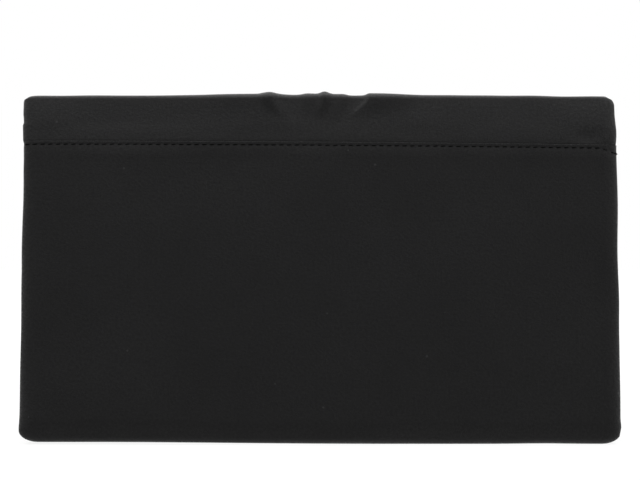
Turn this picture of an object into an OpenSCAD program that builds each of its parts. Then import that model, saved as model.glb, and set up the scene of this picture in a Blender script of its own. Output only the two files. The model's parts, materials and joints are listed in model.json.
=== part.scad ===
// Flap-over clutch purse, closed and standing on its base. All lengths are millimetres.
// X runs along the width, -Y is the front (the flap side) and +Z is up.
// The origin is the middle of the base's underside.
//
// Each wall is a sandwich of cloth, foam, board and lining. A wall is drawn in its own frame,
// where y is the distance outward from its outer face and z runs up the wall from the ground.

/* [Body] */
// Width of the walls and the flap
body_w = 254; // [220:1:290]
// Depth of the base, across the outer faces of both walls
base_depth = 39; // [36:1:46]
// Height of the back wall's board
back_h = 143.8; // [130:0.1:160]
// How far the front wall stops below the back wall
front_drop = 21.8; // [16:0.1:30]
// Distance from the mid-plane to the back wall's outer face at its top
back_top = 7.7; // [7:0.1:9]
// Distance from the mid-plane to the front wall's outer face at its top
front_top = 4.7; // [4:0.1:6]

/* [Layers] */
// Thickness of the outer cloth
skin_t = 0.9; // [0.7:0.05:1.1]
// Thickness of the walls' foam
foam_t = 1.6; // [1.2:0.1:2]
// Thickness of the walls' board
board_t = 1.2; // [0.8:0.1:1.5]
// Thickness of the lining cloth
lining_t = 0.5; // [0.3:0.05:0.6]
// Thickness of the base board
base_board_t = 2; // [1.5:0.1:2.5]

/* [Flap] */
// Length of the flap below its front crease
flap_l = 101; // [80:1:110]
// Radius of the flap's lower corners
flap_corner_r = 9; // [4:1:20]
// Thickness of the flap's foam
flap_foam_t = 1; // [0.9:0.1:1.4]
// Thickness of the flap's board
flap_board_t = 0.9; // [0.7:0.1:1.2]
// Outer radius of the cloth at each crease of the top fold
crease_r = 3.6; // [3.4:0.1:4]
// Radius of the corners at the two ends of the top fold
top_corner_r = 5; // [3:0.5:8]

/* [Seam and stitches] */
// Height of the back panel's folded edge, measured up the wall
seam_u = 128.7; // [120:0.1:129]
// Length of the flap's root that is tucked behind the back panel
root_tuck = 9; // [6:0.5:12]
// Distance from a folded edge to its row of stitches
edge_to_stitch = 1.6; // [1.2:0.1:2.5]
// Distance between stitches
stitch_pitch = 3.3; // [2.8:0.1:4]
// Length of thread that shows in each stitch
stitch_l = 2.4; // [1.6:0.1:2.6]
// Radius of the sewing thread
thread_r = 0.25; // [0.2:0.01:0.3]

/* [Gussets] */
// How far each side's cloth is set in from the ends of the walls
gusset_inset = 1; // [0.5:0.5:3]
// Angle through which the front wall tilts open
mouth_angle = 10; // [4:1:10]

/* [Pocket] */
// Width of the slip pocket
pocket_w = 150; // [100:1:180]
// Height of the slip pocket
pocket_h = 78; // [60:1:90]
// Height of the pocket's lower edge above the ground
pocket_z = 18; // [12:1:24]
// Gap inside the empty pocket
pocket_gap = 0.5; // [0.4:0.1:0.8]

/* [Snap] */
// Height of the magnetic snap, measured up the front wall
snap_u = 60; // [55:1:70]
// Radius of both halves of the snap
snap_r = 7; // [6:0.5:8]
// Radius of the stud that enters the socket
stud_r = 2.4; // [2:0.1:2.8]

/* [Hidden] */

$fn = 64;
gap = 0.1;
snap_gap = 0.3;
thread_gap = 0.02;
groove_depth = 0.4;
groove_h = 1;
row_margin = 3;
flap_w = body_w - 1;

skin_colour = [0.13, 0.13, 0.135];
thread_colour = [0.05, 0.05, 0.05];
lining_colour = [0.45, 0.42, 0.38];
board_colour = [0.62, 0.53, 0.40];
foam_colour = [0.86, 0.86, 0.82];
metal_colour = [0.75, 0.76, 0.78];

// Walls: lean of each outer face from upright, and where its layers start and end.
foot_y = base_depth / 2;
front_h = back_h - front_drop;
back_lean = atan((foot_y - back_top) / back_h);
front_lean = atan((foot_y - front_top) / front_h);
wall_start = 1.7;
stitch_u = seam_u - edge_to_stitch;
mouth_stitch_u = front_h - edge_to_stitch - 1;
foam_in = -skin_t - foam_t;
board_in = foam_in - board_t;
back_lining_in = board_in - lining_t;
// The front lining hangs clear of the board, which leaves room for the snap's washer.
front_lining_out = board_in - 1.3;
front_lining_in = front_lining_out - lining_t;
board_margin = 1.2;
board_drop = 1;

// Top fold: two creases joined by a flat spine.
crease_z = back_h + 1;
back_crease_y = back_top - crease_r;
fold_top = crease_z + crease_r;
flap_inner_y = 3;
flap_t = lining_t + flap_board_t + flap_foam_t + skin_t;
front_crease_y = flap_inner_y + flap_t - crease_r - 0.1;
fold_foam_t = crease_r - skin_t - lining_t - 0.4;

// Snap: the socket stands on the front panel, and the stud's plate stops just clear of it.
socket_t = 2.4;
stud_plate_t = 1;
stud_l = 1.8;
washer_t = 0.5;
socket_hole_r = stud_r + 0.5;
prong_x = 0.6 * snap_r;
prong_size = [0.6, 3.6];
prong_slack = 0.3;
prong_bend = 2.2;
prong_t = 0.4;
snap_standoff = socket_t + stud_plate_t + snap_gap;
stud_plate_y = foot_y - snap_u * sin(front_lean) + snap_standoff * cos(front_lean);
stud_plate_z = snap_u * cos(front_lean) + snap_standoff * sin(front_lean);
flap_lean = atan((stud_plate_y - flap_inner_y) / (crease_z - stud_plate_z));
stud_drop = (crease_z - stud_plate_z) / cos(flap_lean);

// Base: its board and lining lie between the inner faces of the walls.
base_clearance = 0.75;
base_back_y = foot_y + back_lining_in - base_clearance;
base_front_y = -(foot_y + front_lining_in - base_clearance);
base_top = skin_t + base_board_t + lining_t;

// Gussets: each is a strip of cloth folded inward, wide enough to lie flat when the mouth is open.
gusset_levels = 10;
gusset_z0 = base_top + 0.3;
gusset_z1 = front_h - 4;
gusset_gap = 0.3;
gusset_skin_t = 0.7;
gusset_lining_out = gusset_skin_t + 0.05;
gusset_lining_in = gusset_lining_out + 0.4;
gusset_x = body_w / 2 - gusset_inset;

function back_inner_y(z) = foot_y + back_lining_in / cos(back_lean) - z * tan(back_lean);
function front_inner_y(z) = -(foot_y + front_lining_in / cos(front_lean) - z * tan(front_lean));
function mouth_half(z) = (back_inner_y(z) - front_inner_y(z)) / 2 - gusset_gap;
function strip_half(z) = mouth_half(z) + (z - gusset_z0) * tan(mouth_angle) / 2;
function fold_depth(z) = sqrt(max(0, strip_half(z) ^ 2 - mouth_half(z) ^ 2));

// ---------- Drawing aids ----------

module on_back() {
    translate([0, foot_y, 0]) rotate([back_lean, 0, 0]) children();
}

module on_front() {
    mirror([0, 1, 0]) translate([0, foot_y, 0]) rotate([front_lean, 0, 0]) children();
}

// The flap's frame has its origin at the inner face of the front crease, and z runs up the flap.
module on_flap() {
    mirror([0, 1, 0]) translate([0, flap_inner_y, crease_z]) rotate([flap_lean, 0, 0]) children();
}

// Extrudes a profile drawn in Y and Z along X.
module along_x(w) {
    rotate([90, 0, 90]) translate([0, 0, -w / 2]) linear_extrude(w) children();
}

// Extrudes an outline drawn in X and Z, from y = y0 out to y = y1.
module along_y(y0, y1) {
    translate([0, y1, 0]) rotate([90, 0, 0]) linear_extrude(y1 - y0) children();
}

module corner_waste(r) {
    difference() {
        translate([-1, -1]) square(r + 1);
        translate([r, r]) circle(r);
    }
}

// A rectangle from z0 to z1 whose lower and upper corners are rounded.
module rounded_rect(w, z0, z1, low_r, top_r) {
    difference() {
        translate([-w / 2, z0]) square([w, z1 - z0]);
        for (side = [0, 1]) mirror([side, 0]) {
            translate([-w / 2, z0]) corner_waste(low_r);
            translate([-w / 2, z1]) mirror([0, 1]) corner_waste(top_r);
        }
    }
}

module layer(w, z0, z1, y0, y1, low_r = 2, top_r = 2) {
    along_y(y0, y1) rounded_rect(w, z0, z1, low_r, top_r);
}

// A row of stitches that lies just clear of the floor of its groove.
module sunken_stitches(u) {
    translate([0, thread_r - groove_depth + thread_gap, u]) stitch_row(body_w - 2 * row_margin);
}

// A row of stitches along X, centred, each a short length of thread.
module stitch_row(w) {
    count = floor(w / stitch_pitch);
    for (i = [0 : count - 1])
        translate([(i - (count - 1) / 2) * stitch_pitch, 0, 0])
            rotate([0, 90, 0]) cylinder(r = thread_r, h = stitch_l, center = true, $fn = 16);
}

// The groove that a row of stitches pulls into a wall's cloth.
module stitch_groove(u) {
    translate([0, 0, u])
        cube([body_w - 2 * row_margin + 2, 2 * groove_depth, groove_h], center = true);
}

// The two straight prongs of a snap at height z, from y0 out to y1, or the slots for them.
module prongs(z, y0, y1, slack = 0) {
    for (side = [-1, 1])
        translate([side * prong_x, (y0 + y1) / 2, z])
            cube([prong_size[0] + slack, y1 - y0, prong_size[1] + slack], center = true);
}

// The ends of the prongs, bent outward flat over the washer.
module bent_prongs(z, y0, y1) {
    for (side = [-1, 1])
        translate([side * (prong_x + (prong_bend - prong_size[0]) / 2), (y0 + y1) / 2, z])
            cube([prong_bend, y1 - y0, prong_size[1]], center = true);
}

module disc(r, z, y0, y1) {
    translate([0, y1, z]) rotate([90, 0, 0]) cylinder(r = r, h = y1 - y0);
}

// ---------- Back wall ----------

module back_panel() {
    color(skin_colour) on_back() difference() {
        layer(body_w, wall_start, seam_u, -skin_t, 0, top_r = 0.5);
        stitch_groove(stitch_u);
    }
}

module root_stitches() {
    color(thread_colour) on_back() sunken_stitches(stitch_u);
}

// The foam is pressed thinner where the flap's root is tucked behind the panel.
module back_foam() {
    tuck_u = seam_u - root_tuck - 1;
    top_u = back_h + 0.4;
    pressed = -2 * skin_t;
    color(foam_colour) on_back() intersection() {
        layer(body_w - 2 * board_margin, wall_start, top_u, foam_in, -skin_t, top_r = top_corner_r - 1);
        along_x(body_w) polygon([
            [foam_in, 0], [-skin_t, 0], [-skin_t, tuck_u], [pressed, tuck_u],
            [pressed, seam_u + 1], [-skin_t, seam_u + 1], [-skin_t, top_u + 1], [foam_in, top_u + 1],
        ]);
    }
}

module back_board() {
    color(board_colour) on_back()
        layer(body_w - 2 * board_margin, wall_start, back_h, board_in, foam_in, top_r = top_corner_r - 1);
}

module back_lining() {
    color(lining_colour) on_back()
        layer(body_w - 2 * board_margin, wall_start, back_h - 0.5, back_lining_in, board_in,
              top_r = top_corner_r - 1);
}

// The lowest part of the flap's cloth: it steps in behind the panel's folded edge.
module flap_root() {
    tuck_u = seam_u - root_tuck;
    step_u = seam_u + 0.2;
    top_u = back_h + 0.6;
    color(skin_colour) on_back() intersection() {
        layer(flap_w, tuck_u, top_u, -2 * skin_t, 0, low_r = 1, top_r = 0.5);
        along_x(body_w) polygon([
            [-2 * skin_t, tuck_u], [-skin_t, tuck_u], [-skin_t, step_u], [0, step_u],
            [0, top_u], [-skin_t, top_u], [-skin_t, seam_u + 1], [-2 * skin_t, seam_u + 1],
        ]);
    }
}

// ---------- Base ----------

// A plate from y = front out to y = back.
module base_plate(w, front, back, z0, z1, r = 1) {
    translate([0, 0, z0]) linear_extrude(z1 - z0) rounded_rect(w, front, back, r, r);
}

module base_panel() {
    half_depth = foot_y - 0.2;
    color(skin_colour) base_plate(body_w - 1, -half_depth, half_depth, 0, skin_t, r = 2.5);
}

module base_board() {
    color(board_colour)
        base_plate(body_w - 7, base_front_y, base_back_y, skin_t, skin_t + base_board_t);
}

module base_lining() {
    color(lining_colour)
        base_plate(body_w - 8, base_front_y, base_back_y, skin_t + base_board_t, base_top);
}

// ---------- Gussets ----------

// One level of a side's folded cloth, as a chevron seen from above. in0 and in1 are the cloth's
// distances inside the outer face of the gusset, measured square to the cloth.
function chevron(z, in0, in1) =
    let (
        h = mouth_half(z), d = fold_depth(z),
        y_back = back_inner_y(z) - gusset_gap, y_front = front_inner_y(z) + gusset_gap,
        y_mid = (y_back + y_front) / 2,
        stretch = sqrt(1 + (d / h) ^ 2)
    ) [
        for (i = [0 : 2])
            [gusset_x - (i == 1 ? d : 0) - in0 * stretch, [y_back, y_mid, y_front][i], z],
        for (i = [2 : -1 : 0])
            [gusset_x - (i == 1 ? d : 0) - in1 * stretch, [y_back, y_mid, y_front][i], z],
    ];

// A closed skin through a stack of levels, each an outline that runs along one face of the cloth
// and back along the other. Both faces split their quads along the same diagonal, so they stay
// parallel where the cloth twists.
module loft(levels) {
    n = len(levels[0]);
    last = (len(levels) - 1) * n;
    points = [for (level = levels) each level];
    sides = [
        for (k = [0 : len(levels) - 2], i = [0 : n - 1])
            let (a = k * n + i, b = k * n + (i + 1) % n)
                each i < n / 2
                    ? [[a, b + n, b], [a, a + n, b + n]]
                    : [[a, a + n, b], [b, a + n, b + n]]
    ];
    caps = [
        for (i = [0 : n / 2 - 2])
            each [
                [i, i + 1, n - 1 - i], [n - 1 - i, i + 1, n - 2 - i],
                [last + i, last + n - 1 - i, last + i + 1],
                [last + n - 1 - i, last + n - 2 - i, last + i + 1],
            ]
    ];
    polyhedron(points, concat(caps, sides), convexity = 6);
}

module gusset(in0, in1) {
    step = (gusset_z1 - gusset_z0) / gusset_levels;
    loft([for (k = [0 : gusset_levels]) chevron(gusset_z0 + k * step, in0, in1)]);
}

module gusset_cloth() {
    color(skin_colour) gusset(0, gusset_skin_t);
}

module gusset_inside() {
    color(lining_colour) gusset(gusset_lining_out, gusset_lining_in);
}

// ---------- Slip pocket ----------

pocket_seam = 4;
pocket_hem_h = 9;

module pocket_frame() {
    on_back() translate([0, back_lining_in, 0]) children();
}

module slip_pocket() {
    color(lining_colour) pocket_frame() difference() {
        layer(pocket_w, pocket_z, pocket_z + pocket_h, -pocket_gap - lining_t, 0,
              low_r = 3, top_r = 0.5);
        layer(pocket_w - 2 * pocket_seam, pocket_z + pocket_seam, pocket_z + pocket_h + 1, -pocket_gap, 1,
              low_r = 2, top_r = 0.5);
    }
}

module pocket_hem() {
    color(lining_colour) pocket_frame()
        layer(pocket_w, pocket_z + pocket_h - pocket_hem_h, pocket_z + pocket_h,
              -pocket_gap - 1.6 * lining_t, -pocket_gap - lining_t, low_r = 0.5, top_r = 0.5);
}

module pocket_stitches() {
    side_h = pocket_h - pocket_hem_h - 7;
    color(thread_colour) pocket_frame() translate([0, -pocket_gap - lining_t - thread_r - thread_gap, 0]) {
        translate([0, 0, pocket_z + pocket_seam / 2]) stitch_row(pocket_w - 2 * pocket_seam);
        for (side = [-1, 1])
            translate([side * (pocket_w - pocket_seam) / 2, 0, pocket_z + pocket_seam + side_h / 2])
                rotate([0, 90, 0]) stitch_row(side_h);
    }
}

// ---------- Top fold ----------

// A band that bends round both creases, between two distances from the crease lines.
module fold_arch(inner_r, outer_r) {
    difference() {
        fold_profile(outer_r, 0);
        fold_profile(inner_r, 1);
    }
}

module fold_profile(r, extra) {
    for (y = [back_crease_y, -front_crease_y]) translate([y, crease_z]) intersection() {
        circle(r);
        translate([-r, -extra]) square([2 * r, r + 2 * extra]);
    }
    translate([-front_crease_y, crease_z - extra])
        square([back_crease_y + front_crease_y, r + extra]);
}

module fold_outline() {
    along_y(-base_depth, base_depth) rounded_rect(flap_w, crease_z - crease_r, fold_top, 1, top_corner_r);
}

module fold_skin() {
    color(skin_colour) intersection() {
        along_x(flap_w) fold_arch(crease_r - skin_t, crease_r);
        fold_outline();
    }
}

module fold_strip(w, z0, z1) {
    translate([-w / 2, -front_crease_y + gap, z0])
        cube([w, back_crease_y + front_crease_y - 2 * gap, z1 - z0]);
}

module fold_foam() {
    z0 = crease_z + lining_t + 0.25;
    color(foam_colour) fold_strip(body_w - 2 * top_corner_r, z0, z0 + fold_foam_t);
}

module fold_lining() {
    color(lining_colour) fold_strip(body_w - 8, crease_z + 0.2, crease_z + 0.2 + lining_t);
}

// ---------- Flap ----------

flap_board_out = lining_t + flap_board_t;
flap_foam_out = flap_board_out + flap_foam_t;
flap_start = -0.9;

module flap_layer(margin, y0, y1) {
    layer(flap_w - 2 * margin, -flap_l + margin, flap_start, y0, y1,
          low_r = flap_corner_r - margin, top_r = 0.5);
}

module flap_skin() {
    color(skin_colour) on_flap() flap_layer(0, flap_foam_out, flap_t);
}

module flap_foam() {
    color(foam_colour) on_flap() difference() {
        flap_layer(1, flap_board_out, flap_foam_out);
        disc(snap_r + 0.3, -stud_drop, flap_board_out - 1, flap_foam_out + 1);
    }
}

module flap_board() {
    color(board_colour) on_flap() difference() {
        flap_layer(1, lining_t, flap_board_out);
        prongs(-stud_drop, 0, flap_board_out + 1, slack = prong_slack);
    }
}

module flap_lining() {
    color(lining_colour) on_flap() difference() {
        flap_layer(1.5, 0, lining_t);
        prongs(-stud_drop, -1, lining_t + 1, slack = prong_slack);
    }
}

module snap_stud() {
    reach = flap_board_out + washer_t;
    color(metal_colour) on_flap() {
        disc(snap_r, -stud_drop, -stud_plate_t, 0);
        disc(stud_r, -stud_drop, -stud_plate_t - stud_l, -stud_plate_t);
        prongs(-stud_drop, -0.2, reach + prong_t);
        bent_prongs(-stud_drop, reach, reach + prong_t);
    }
}

module stud_washer() {
    color(metal_colour) on_flap() difference() {
        disc(snap_r - 0.5, -stud_drop, flap_board_out, flap_board_out + washer_t);
        prongs(-stud_drop, 0, flap_t, slack = prong_slack);
    }
}

// ---------- Front wall ----------

module front_layer(margin, top, y0, y1) {
    layer(body_w - 2 * margin, wall_start, top, y0, y1);
}

module snap_slots() {
    prongs(snap_u, front_lining_out, 1, slack = prong_slack);
}

module front_panel() {
    color(skin_colour) on_front() difference() {
        front_layer(0, front_h, -skin_t, 0);
        stitch_groove(mouth_stitch_u);
        snap_slots();
    }
}

module mouth_stitches() {
    color(thread_colour) on_front() sunken_stitches(mouth_stitch_u);
}

module front_foam() {
    color(foam_colour) on_front() difference() {
        front_layer(board_margin, front_h - board_drop, foam_in, -skin_t);
        snap_slots();
    }
}

module front_board() {
    color(board_colour) on_front() difference() {
        front_layer(board_margin, front_h - board_drop, board_in, foam_in);
        snap_slots();
    }
}

module front_lining() {
    color(lining_colour) on_front()
        front_layer(board_margin, front_h - 0.5, front_lining_in, front_lining_out);
}

// The socket is a cup that holds the magnet, with the stud's hole through its face.
module snap_socket() {
    wall = 0.4;
    reach = board_in - washer_t;
    color(metal_colour) on_front() {
        difference() {
            disc(snap_r, snap_u, 0, socket_t);
            difference() {
                disc(snap_r - wall, snap_u, wall, socket_t - wall);
                disc(socket_hole_r + wall, snap_u, 0, socket_t);
            }
            disc(socket_hole_r, snap_u, wall, socket_t + 1);
        }
        prongs(snap_u, reach - prong_t, 0.2);
        bent_prongs(snap_u, reach - prong_t, reach);
    }
}

module snap_magnet() {
    color([0.25, 0.25, 0.27]) on_front() difference() {
        disc(snap_r - 0.5, snap_u, 0.5, socket_t - 0.5);
        disc(socket_hole_r + 0.5, snap_u, 0, socket_t);
    }
}

module socket_washer() {
    color(metal_colour) on_front() difference() {
        disc(snap_r - 0.5, snap_u, board_in - washer_t, board_in);
        snap_slots();
    }
}

back_panel();
back_foam();
back_board();
back_lining();
flap_root();
root_stitches();
base_panel();
base_board();
base_lining();
mirror([1, 0, 0]) gusset_cloth();  // left_gusset
gusset_cloth();  // right_gusset
mirror([1, 0, 0]) gusset_inside();  // left_gusset_lining
gusset_inside();  // right_gusset_lining
slip_pocket();
pocket_hem();
pocket_stitches();
fold_skin();
fold_foam();
fold_lining();
flap_skin();
flap_foam();
flap_board();
flap_lining();
snap_stud();
stud_washer();
front_panel();
front_foam();
front_board();
front_lining();
mouth_stitches();
snap_socket();
snap_magnet();
socket_washer();
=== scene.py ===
"""The looks of a flap-over clutch purse in matte black cloth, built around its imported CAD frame.

Lengths are millimetres until a mesh is made, which is in metres. X is across the width, -Y is the
front and +Z is up. A surface is drawn in its own coordinates: x across, v along (up a wall, or
along the cloth that goes over the top) and n outward.
"""

import json
import math
from collections import namedtuple

import bpy
import numpy as np
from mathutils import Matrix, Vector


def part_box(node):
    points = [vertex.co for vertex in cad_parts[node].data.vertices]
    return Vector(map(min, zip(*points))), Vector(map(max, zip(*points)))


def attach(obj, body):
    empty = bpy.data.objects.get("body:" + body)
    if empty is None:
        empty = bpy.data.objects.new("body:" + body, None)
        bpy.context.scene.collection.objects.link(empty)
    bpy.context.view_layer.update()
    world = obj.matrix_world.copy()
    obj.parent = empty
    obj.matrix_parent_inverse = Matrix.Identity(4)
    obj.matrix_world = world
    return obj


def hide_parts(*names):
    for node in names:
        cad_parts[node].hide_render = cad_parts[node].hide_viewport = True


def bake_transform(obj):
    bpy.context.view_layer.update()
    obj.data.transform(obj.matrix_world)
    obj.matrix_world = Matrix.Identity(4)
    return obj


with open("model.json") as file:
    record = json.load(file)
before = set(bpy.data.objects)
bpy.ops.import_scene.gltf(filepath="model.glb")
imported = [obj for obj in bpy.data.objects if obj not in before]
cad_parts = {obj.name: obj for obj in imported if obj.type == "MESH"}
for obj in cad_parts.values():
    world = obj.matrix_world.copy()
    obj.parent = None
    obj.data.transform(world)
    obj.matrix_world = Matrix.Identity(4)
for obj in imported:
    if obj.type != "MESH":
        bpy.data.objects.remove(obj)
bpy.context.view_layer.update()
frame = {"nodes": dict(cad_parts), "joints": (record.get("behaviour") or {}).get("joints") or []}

MM = 0.001
CLOTH_T = 0.6
PITCH = 3.3  # of the stitches
WALL_START = 0.25  # height of a wall's lowest row above its foot
SIDE_EDGE = 5.5  # width of the padded roll along a wall's side
SIDE_DROP = 2.6  # depth of a wall's side edge below its outer face
TURN_IN = 4.3  # depth of the cloth that is turned in behind a wall's board
INNER_FACE = TURN_IN + 0.1  # depth of a wall's inner face, where the linings and gussets lie
BORDER_ROLL = 1.2  # width over which a wrapped edge turns in to its border
HEM_T = 0.85  # thickness of a folded edge
HEM_TO_STITCH = 1.5


# ---------- Numbers and shapes ----------

def smooth(a, b, x):
    """0 up to a, 1 from b on, and a smooth step between them."""
    t = np.clip((np.asarray(x, float) - a) / (b - a), 0, 1)
    return t * t * (3 - 2 * t)


def hill(x, centre, width):
    return np.exp(-(((x - centre) / width) ** 2))


def quarter(t):
    """Height of a quarter ellipse: 0 at its edge, where t is 0, and 1 from t = 1 on."""
    return np.sqrt(1 - (1 - np.clip(t, 0, 1)) ** 2)


def soft_noise(x, v, size, seed):
    """Smooth noise of about unit height, with features about size across."""
    rng = np.random.default_rng(seed)
    total = np.zeros(np.broadcast(x, v).shape)
    for _ in range(9):
        angle = rng.uniform(0, math.tau)
        phase = rng.uniform(0, math.tau)
        k = math.tau / (size * rng.uniform(0.8, 1.7))
        total += np.sin(k * (x * math.cos(angle) + v * math.sin(angle)) + phase)
    return total / 3


def lines(start, end, start_edge, end_edge, step):
    """Grid lines from start to end. They crowd into each rolled edge, as its quarter ellipse needs."""
    turns = 7
    crowd = 1 - np.cos(np.linspace(0, math.pi / 2, turns + 1))
    first = start + start_edge * crowd if start_edge else np.array([start])
    last = (end - end_edge * crowd)[::-1] if end_edge else np.array([end])
    count = max(2, round((last[0] - first[-1]) / step))
    middle = np.linspace(first[-1], last[0], count + 1)[1:-1]
    return np.concatenate([first, middle, last])


def stretches(start, *parts):
    """Grid lines from start through a few stretches. Each part is where one ends, and its step."""
    rows = [np.array([start])]
    for end, step in parts:
        rows.append(lines(rows[-1][-1], end, None, None, step)[1:])
    return np.concatenate(rows)


def at(x, y, z):
    """Points from their three coordinates."""
    return np.stack(np.broadcast_arrays(x, y, z), axis=-1)


def box_mm(node):
    low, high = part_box(node)
    return np.array(low) / MM, np.array(high) / MM


class Wall:
    """A leaning wall. Its n is measured out from the outer face of one of its CAD layers."""

    def __init__(self, node, side):
        mesh = frame["nodes"][node].data
        faces = [p for p in mesh.polygons if p.normal.y * side > 0.5]
        face = max(faces, key=lambda p: p.area)
        self.side = side
        self.lean = math.atan2(face.normal.z, face.normal.y * side)
        self.foot = face.normal.dot(face.center) / MM / math.cos(self.lean)

    def yz(self, v, n):
        y = self.foot + n * math.cos(self.lean) - v * math.sin(self.lean)
        z = n * math.sin(self.lean) + v * math.cos(self.lean)
        return self.side * y, z

    def place(self, x, v, n):
        return at(x, *self.yz(v, n))

    def height(self, z):
        """How far up the wall the outer face reaches a height above the ground."""
        return z / math.cos(self.lean)


class Path:
    """A smooth curve in the Y-Z plane through a few points. v is the length along it, and n is outward."""

    def __init__(self, points):
        p = np.array(points, float)
        p = np.vstack([2 * p[0] - p[1], p, 2 * p[-1] - p[-2]])
        t = np.linspace(0, 1, 24, endpoint=False)[:, None]
        curve = []
        for a, b, c, d in zip(p, p[1:], p[2:], p[3:]):
            curve.append(0.5 * (2 * b + (c - a) * t + (2 * a - 5 * b + 4 * c - d) * t**2
                                + (3 * b - a - 3 * c + d) * t**3))
        self.curve = np.vstack(curve + [p[-2:-1]])
        self.length = np.append(0, np.cumsum(np.linalg.norm(np.diff(self.curve, axis=0), axis=1)))
        tangent = np.gradient(self.curve, self.length, axis=0)
        tangent /= np.linalg.norm(tangent, axis=1)[:, None]
        self.normal = np.stack([tangent[:, 1], -tangent[:, 0]], axis=1)

    def yz(self, v, n=0.0):
        at = [np.interp(v, self.length, column) for column in (*self.curve.T, *self.normal.T)]
        return at[0] + n * at[2], at[1] + n * at[3]

    def place(self, x, v, n):
        return at(x, *self.yz(v, n))

    def nearest(self, y, z):
        return self.length[np.argmin(np.hypot(self.curve[:, 0] - y, self.curve[:, 1] - z))]


def make_mesh(name, points, faces, uvs=None):
    """A smooth-shaded object from points in millimetres."""
    mesh = bpy.data.meshes.new(name)
    mesh.from_pydata((np.asarray(points, float) * MM).tolist(), [], [list(f) for f in faces])
    mesh.polygons.foreach_set("use_smooth", [True] * len(mesh.polygons))
    if uvs is not None:
        layer = mesh.uv_layers.new(name="cloth")
        corners = np.zeros(len(mesh.loops), np.int32)
        mesh.loops.foreach_get("vertex_index", corners)
        layer.data.foreach_set("uv", np.asarray(uvs, np.float32)[corners].ravel())
    mesh.update()
    piece = bpy.data.objects.new(name, mesh)
    bpy.context.scene.collection.objects.link(piece)
    return piece


def thicken(piece, thickness):
    """Gives a sheet of cloth its thickness, inward from the face that shows."""
    solidify = piece.modifiers.new("thickness", "SOLIDIFY")
    solidify.thickness = thickness * MM
    solidify.offset = -1
    evaluated = piece.evaluated_get(bpy.context.evaluated_depsgraph_get())
    mesh = bpy.data.meshes.new_from_object(evaluated)
    piece.modifiers.clear()
    piece.data = mesh
    return piece


def quad_faces(index, keep=None):
    """Quads between neighbouring entries of a grid of vertex numbers."""
    faces = np.stack([index[:-1, :-1], index[:-1, 1:], index[1:, 1:], index[1:, :-1]], axis=-1)
    return faces.reshape(-1, 4) if keep is None else faces[keep]


def tube_faces(grid):
    """The faces of a tube that is closed at both ends. Each row of vertex numbers is a ring."""
    sides = quad_faces(np.hstack([grid, grid[:, :1]]))
    return sides.tolist() + [grid[0, ::-1].tolist(), grid[-1].tolist()]


def facing(points, faces, outward):
    """The faces, turned over if most of them face away from the outward direction."""
    corners = points[faces]
    normals = np.cross(corners[:, 2] - corners[:, 0], corners[:, 3] - corners[:, 1])
    return faces if (normals @ np.array(outward, float)).sum() > 0 else faces[:, ::-1]


def shell(name, outer, inner, joined, keep, uv, outward):
    """A mesh of an outer and an inner grid of points, which share the points where joined is true."""
    index = np.arange(joined.size).reshape(joined.shape)
    inner_index = np.where(joined, index, index + joined.size)
    points = np.vstack([outer.reshape(-1, 3), inner.reshape(-1, 3)])
    front = facing(points, quad_faces(index), outward)
    rear = facing(points, quad_faces(inner_index, keep), [-c for c in outward])
    used, numbers = np.unique(np.vstack([front, rear]), return_inverse=True)
    return make_mesh(name, points[used], numbers.reshape(-1, 4), np.vstack([uv, uv])[used])


def wrap(name, surface, half, span, outward, drop=SIDE_DROP, depth=TURN_IN, relief=None, ends=(9, 1.2),
         side_edge=SIDE_EDGE, top_drop=0.0, ring=10, step=1.2, rows=None, width=None, shift=None):
    """Cloth wrapped over a padded board: an outer face whose edges roll over, and a turned-in border.

    half(v, side) is the half width of a row, span is where the rows start and end, and ends are the
    widths of the rolls there (None leaves that end open). drop is how deep the edges roll, top_drop
    how deep a folded upper edge does, and depth is the border's. ring is the width of the border;
    None closes the back, which makes a solid. relief(x, v) is the small shape of the outer face.
    """
    v0, v1 = span
    width = width or max(float(np.max(half(np.linspace(v0, v1, 50), s))) for s in (-1, 1))
    across = lines(-width, width, side_edge, side_edge, step)
    along = rows if rows is not None else lines(v0, v1, ends[0], ends[1], step)
    x, v = np.meshgrid(across, along)
    far = np.full_like(v, 99.0)
    inset = width - np.abs(x)
    to_start = v - v0 if ends[0] else far
    to_end = v1 - v if ends[1] else far
    side_roll = quarter(inset / side_edge)
    start_roll = quarter(to_start / (ends[0] or 1))
    end_roll = quarter(to_end / (ends[1] or 1))
    drops = drop(v) if callable(drop) else drop
    if top_drop:
        fall = np.hypot(drops * (1 - side_roll * start_roll), top_drop * (1 - end_roll))
    else:
        fall = drops * (1 - side_roll * start_roll * end_roll)
    outer_n = -fall
    if relief:
        outer_n = outer_n + relief(x, v) * side_roll * start_roll
    deep = depth(x, v) if callable(depth) else depth
    turned_in = math.prod(quarter(distance / BORDER_ROLL) for distance in (inset, to_start, to_end))
    inner_n = -((1 - turned_in) * fall + turned_in * deep)
    place_x = x * np.where(x > 0, half(v, 1), half(v, -1)) / width
    place_v = v + (shift(x, v) if shift else 0)
    keep = None
    if ring:
        reach = np.minimum(inset, np.minimum(to_start, to_end))
        keep = (reach[:-1, :-1] < ring) | (reach[1:, 1:] < ring)
    uv = np.stack([place_x, place_v], axis=-1).reshape(-1, 2)
    outer = surface(place_x, place_v, outer_n)
    inner = surface(place_x, place_v, inner_n)
    piece = shell(name, outer, inner, turned_in < 1e-9, keep, uv, outward)
    return thicken(piece, CLOTH_T) if ring else piece


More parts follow.
